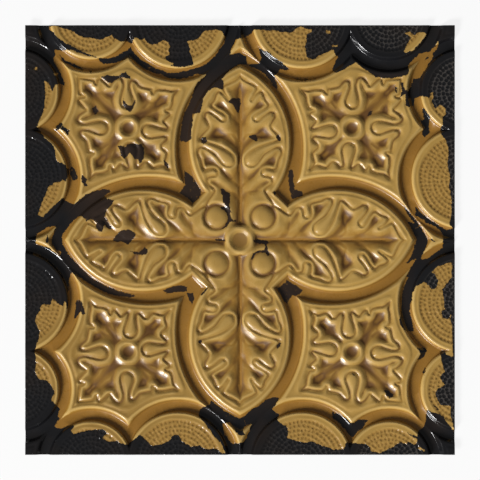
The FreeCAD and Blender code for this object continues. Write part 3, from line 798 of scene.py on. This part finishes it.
def thinned(mesh, triangles):
    """Places and triangles of a mesh after its plain stretches are thinned out."""
    holder = bpy.data.objects.new(mesh.name, mesh)
    bpy.context.scene.collection.objects.link(holder)
    thin = holder.modifiers.new("thin", "DECIMATE")
    thin.ratio = triangles / (2 * len(mesh.polygons))
    thin.use_collapse_triangulate = True
    result = holder.evaluated_get(bpy.context.evaluated_depsgraph_get()).to_mesh()
    places = np.zeros(len(result.vertices) * 3, np.float32)
    result.vertices.foreach_get("co", places)
    result.calc_loop_triangles()
    faces = np.zeros(len(result.loop_triangles) * 3, np.int32)
    result.loop_triangles.foreach_get("vertices", faces)
    bpy.data.objects.remove(holder)
    bpy.data.meshes.remove(mesh)
    return places.reshape(-1, 3).astype(float), faces.reshape(-1, 3)


def outer_edges(faces):
    """Directed edges that only one face has."""
    edges = np.vstack([faces[:, [0, 1]], faces[:, [1, 2]], faces[:, [2, 0]]])
    keys = np.sort(edges, axis=1)
    order = np.lexsort((keys[:, 1], keys[:, 0]))
    keys = keys[order]
    same = np.zeros(len(keys), bool)
    match = (keys[1:] == keys[:-1]).all(axis=1)
    same[1:] |= match
    same[:-1] |= match
    return edges[order][~same]


def face_normals(heights, places):
    """Directions that the face looks in at the places, from the slopes of the full grid."""
    step = TILE_PIXELS / GRID * PIXEL / MILLIMETRE
    slope_y, slope_x = np.gradient(heights, step)
    normals = np.column_stack([-sampled(slope_x, places), -sampled(slope_y, places), np.ones(len(places))])
    return normals / np.linalg.norm(normals, axis=1)[:, None]


def side_normals(vertices, sides):
    """Directions that the sheet's edge looks in, one for each corner of its sides."""
    run = vertices[sides[:, 1]] - vertices[sides[:, 0]]
    outward = np.column_stack([-run[:, 1], run[:, 0], np.zeros(len(sides))])
    outward /= np.maximum(np.linalg.norm(outward, axis=1), TINY)[:, None]
    return np.repeat(outward, 4, axis=0)


def closed_mesh(places, faces, normals):
    """Mesh of the sheet in metres: its face, the same turned over one sheet below, and the edge between."""
    face = places * (PIXEL, PIXEL, MILLIMETRE) + (0.0, 0.0, SHEET * MILLIMETRE)
    under = face - (0.0, 0.0, SHEET * MILLIMETRE)
    vertices = np.vstack([face, under]).astype(np.float32)
    count = len(face)
    start, stop = outer_edges(faces).T
    sides = np.column_stack([stop, start, start + count, stop + count])
    turned = faces[:, ::-1]
    corners = np.concatenate([faces.ravel(), (turned + count).ravel(), sides.ravel()])
    sizes = np.repeat([3, 3, 4], [len(faces), len(turned), len(sides)])
    finishes = np.repeat([FACE_FINISH, BACK_FINISH, FACE_FINISH], [len(faces), len(turned), len(sides)])
    mesh = new_mesh("pressed_sheet", vertices, corners, sizes)
    mesh.polygons.foreach_set("use_smooth", np.ones(len(sizes), bool))
    mesh.polygons.foreach_set("material_index", finishes.astype(np.int32))
    shading = [normals[faces.ravel()], -normals[turned.ravel()], side_normals(vertices, sides)]
    mesh.normals_split_custom_set(np.vstack(shading))
    return mesh


def build_sheet():
    """The pressed sheet, with the fields that its paint follows."""
    ticks = np.linspace(-HALF, HALF, GRID + 1)
    x, y = np.meshgrid(ticks, ticks)
    heights, stippled = relief(x, y)
    paint = paint_field(x, y)
    fields = {
        "paint": paint,
        "sunk": MARGIN - heights,
        "broad": blurred(heights, BROAD_SPREAD) - heights,
        "fine": blurred(heights, FINE_SPREAD) - heights,
        "border": HALF - np.maximum(np.abs(x), np.abs(y)),
        "stippled": stippled,
    }
    stepped = heights + PAINT_STEP * smooth(paint / PAINT_STEP_WIDTH + 0.5)
    places, faces = thinned(grid_mesh(x, y, stepped), FACE_TRIANGLES)
    places[:, :2] = np.clip(places[:, :2], -HALF, HALF)
    places[:, 2] = sampled(heights, places)
    mesh = closed_mesh(places, faces, face_normals(heights, places))
    for name, field in fields.items():
        values = sampled(field, places)
        layer = mesh.attributes.new(name, "FLOAT", "POINT")
        layer.data.foreach_set("value", np.concatenate([values, values]).astype(np.float32))
    sheet = bpy.data.objects.new("pressed_sheet", mesh)
    bpy.context.scene.collection.objects.link(sheet)
    return sheet


class Nodes:
    """Short forms for laying out a material's nodes."""

    def __init__(self, name):
        self.material = bpy.data.materials.new(name)
        self.material.use_nodes = True
        self.tree = self.material.node_tree
        self.shader = self.tree.nodes["Principled BSDF"]
        self.place = self.tree.nodes.new("ShaderNodeTexCoord").outputs["Object"]

    def add(self, kind, inputs, **settings):
        node = self.tree.nodes.new("ShaderNode" + kind)
        for key, value in settings.items():
            setattr(node, key, value)
        for key, value in inputs.items():
            if isinstance(value, bpy.types.NodeSocket):
                self.tree.links.new(value, node.inputs[key])
            else:
                node.inputs[key].default_value = value
        return node

    def field(self, name):
        return self.add("Attribute", {}, attribute_name=name).outputs["Fac"]

    def axis(self, name):
        return self.add("SeparateXYZ", {0: self.place}).outputs[name]

    def noise(self, scale, detail=3.0, roughness=0.55):
        inputs = {"Vector": self.place, "Scale": scale, "Detail": detail, "Roughness": roughness}
        return self.add("TexNoise", inputs).outputs["Fac"]

    def spread(self, value, low, high, to_low=0.0, to_high=1.0):
        inputs = {"Value": value, "From Min": low, "From Max": high, "To Min": to_low, "To Max": to_high}
        return self.add("MapRange", inputs).outputs["Result"]

    def patches(self, scale, low, high, **settings):
        return self.spread(self.noise(scale, **settings), low, high)

    def between(self, share, first, second):
        return self.spread(share, 0.0, 1.0, first, second)

    def sum(self, first, second):
        return self.add("Math", {0: first, 1: second}, operation="ADD").outputs[0]

    def product(self, first, second):
        return self.add("Math", {0: first, 1: second}, operation="MULTIPLY").outputs[0]

    def colour_between(self, share, first, second):
        return self.add("Mix", {0: share, 6: first, 7: second}, data_type="RGBA").outputs[2]

    def connect(self, socket, value):
        self.tree.links.new(value, self.shader.inputs[socket])


def gold_paint(n, shallow, hollow):
    """Colour of the paint: painted shade towards the lower left, dirt and painted shade in walls, grooves
    and hollows, painted shade in creases and dimples, painted highlights on ridges.
    """
    fine = n.field("fine")
    stippled = n.field("stippled")
    # Painted shade that darkens the paint towards the lower left, in patches.
    side_place = n.sum(n.axis("X"), n.product(n.axis("Y"), SIDE_SHADE_SLANT))
    patchy = n.between(n.patches(scale=7.0, low=0.2, high=0.6), *SIDE_SHADE_PATCHES)
    side_shade = n.product(n.spread(side_place, *SIDE_SHADE_RANGE, *SIDE_SHADE_SHARES), patchy)
    # Painted shade along the creases, weaker in the grooves.
    crease = n.product(n.spread(fine, *CREASE_DEPTHS), n.between(shallow, *CREASE_SHARES))
    # Painted highlight on the ridges, kept out of the grooves.
    ridge_highlight = n.product(n.spread(fine, *RIDGE_DEPTHS), shallow)
    # Painted shade in the dimples of the stipple.
    dimple_shade = n.product(n.spread(fine, *DIMPLE_DEPTHS), stippled)
    colour = n.colour_between(n.patches(scale=22.0, low=0.35, high=0.7, detail=4.0), GOLD, WORN_GOLD)
    colour = n.colour_between(side_shade, colour, SIDE_SHADE_GOLD)
    # Dirt and painted shade down the walls and on the groove floors.
    colour = n.colour_between(n.spread(n.field("sunk"), *WALL_DEPTHS), colour, WALL_SHADE_GOLD)
    colour = n.colour_between(shallow, GROOVE_SHADE_GOLD, colour)
    colour = n.colour_between(hollow, colour, HOLLOW_DIRT_AND_SHADE)
    colour = n.colour_between(crease, colour, CREASE_SHADE)
    colour = n.colour_between(ridge_highlight, colour, RIDGE_HIGHLIGHT_GOLD)
    colour = n.colour_between(n.between(stippled, *STIPPLE_SHARES), colour, STIPPLE_GOLD)
    return n.colour_between(dimple_shade, colour, DIMPLE_SHADE_GOLD)


def black_coat(n):
    """Colour under the paint: black, brown away from the edge, with painted glints on the stipple's crests
    towards the right.
    """
    colour = n.colour_between(n.patches(scale=14.0, low=0.45, high=0.75), BLACK, WARM_BLACK)
    colour = n.colour_between(n.spread(n.field("border"), *BROWN_BORDER), colour, BROWN_BLACK)
    # Painted glints on the stipple's crests in the black, stronger towards the right.
    crests = n.product(n.spread(n.field("fine"), *GLINT_DEPTHS), n.field("stippled"))
    glints = n.product(crests, n.spread(n.axis("X"), *GLINT_SIDE, *GLINT_SHARES))
    return n.colour_between(glints, colour, GLINT_GREY)


def painted_tin():
    """Gold paint, darker in the hollows, worn through to a glossy black coat."""
    n = Nodes("painted_tin")
    ragged = n.between(n.patches(scale=190.0, low=0.3, high=0.7, detail=6.0, roughness=0.7), *RAGGED)
    painted = n.spread(n.sum(n.field("paint"), ragged), *EDGE_BLUR)
    shallow = n.spread(n.field("sunk"), *GROOVE_DEPTHS, 1.0, 0.0)
    # Where the hollows take dirt and painted shade, and a duller gloss.
    hollow = n.product(n.spread(n.field("broad"), *HOLLOW_DEPTHS), shallow)
    n.connect("Base Color", n.colour_between(painted, black_coat(n), gold_paint(n, shallow, hollow)))
    swing = n.between(n.patches(scale=120.0, low=0.3, high=0.7, detail=4.0), *ROUGHNESS_SWING)
    dirt = n.between(n.product(hollow, painted), *DIRT_ROUGHNESSES)
    n.connect("Roughness", n.sum(n.sum(n.between(painted, *ROUGHNESSES), dirt), swing))
    film = n.add("Bump", {"Strength": FILM_STRENGTH, "Distance": FILM_HEIGHT, "Height": painted})
    grain = n.add("Bump", {
        "Strength": GRAIN_STRENGTH,
        "Distance": GRAIN_HEIGHT,
        "Height": n.noise(scale=900.0),
        "Normal": film.outputs[0],
    })
    n.connect("Normal", grain.outputs[0])
    return n.material


def bare_tin():
    """Dull tinplate of the back, spotted with rust."""
    n = Nodes("bare_tin")
    rust = n.patches(scale=30.0, low=0.55, high=0.68, detail=6.0, roughness=0.65)
    tin = n.colour_between(n.patches(scale=9.0, low=0.3, high=0.7, detail=4.0), TIN, DARK_TIN)
    n.connect("Base Color", n.colour_between(rust, tin, RUST))
    n.connect("Metallic", n.between(rust, *BACK_METALLICS))
    n.connect("Roughness", n.between(rust, *BACK_ROUGHNESSES))
    return n.material


def white_floor():
    """Nearly white to the camera and in reflections, with a faint shadow, and grey to other light."""
    n = Nodes("white_floor")
    path = n.add("LightPath", {}).outputs
    seen = n.add("Math", {0: path["Is Camera Ray"], 1: path["Is Glossy Ray"]}, operation="MAXIMUM")
    share = n.product(seen.outputs[0], FLOOR_GLOW)
    plain = n.add("BsdfDiffuse", {"Color": FLOOR_COLOUR})
    glow = n.add("Emission", {})
    mix = n.add("MixShader", {0: share, 1: plain.outputs[0], 2: glow.outputs[0]})
    n.tree.links.new(mix.outputs[0], n.tree.nodes["Material Output"].inputs["Surface"])
    n.tree.nodes.remove(n.shader)
    return n.material


def build_floor():
    """Floor just below the tile, which keeps the tile's shadow."""
    mesh = bpy.data.meshes.new("floor")
    signs = [(-1, -1), (1, -1), (1, 1), (-1, 1)]
    mesh.from_pydata([(FLOOR_HALF * p, FLOOR_HALF * q, 0.0) for p, q in signs], [], [(0, 1, 2, 3)])
    mesh.materials.append(white_floor())
    floor = bpy.data.objects.new("floor", mesh)
    floor.location.z = -FLOOR_DROP
    bpy.context.scene.collection.objects.link(floor)


def build_key_light():
    """The one lamp, aimed at the tile's middle."""
    light = bpy.data.lights.new("key", "AREA")
    light.size = KEY_SIZE
    light.energy = KEY_POWER
    lamp = bpy.data.objects.new("key", light)
    lamp.location = KEY_PLACE
    lamp.rotation_euler = (-lamp.location).to_track_quat("-Z", "Y").to_euler()
    bpy.context.scene.collection.objects.link(lamp)


def build_camera():
    """Camera straight above the tile, which sees as much as the photo shows."""
    camera = bpy.data.cameras.new("camera")
    camera.sensor_width = SENSOR_WIDTH
    camera.lens = SENSOR_WIDTH * CAMERA_HEIGHT / (FRAME_PIXELS * PIXEL)
    eye = bpy.data.objects.new("camera", camera)
    eye.location = (0.0, 0.0, CAMERA_HEIGHT)
    bpy.context.scene.collection.objects.link(eye)
    bpy.context.scene.camera = eye


def build_studio():
    """Sky, lamp, floor and camera."""
    bpy.context.scene.view_settings.view_transform = "Standard"
    world = bpy.data.worlds.new("studio")
    world.use_nodes = True
    sky = world.node_tree.nodes["Background"]
    sky.inputs["Color"].default_value = WHITE
    sky.inputs["Strength"].default_value = SKY_STRENGTH
    bpy.context.scene.world = world
    build_key_light()
    build_floor()
    build_camera()


sheet = build_sheet()
sheet.data.materials.append(painted_tin())
sheet.data.materials.append(bare_tin())
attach(sheet, BODY)
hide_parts(NODE)
build_studio()
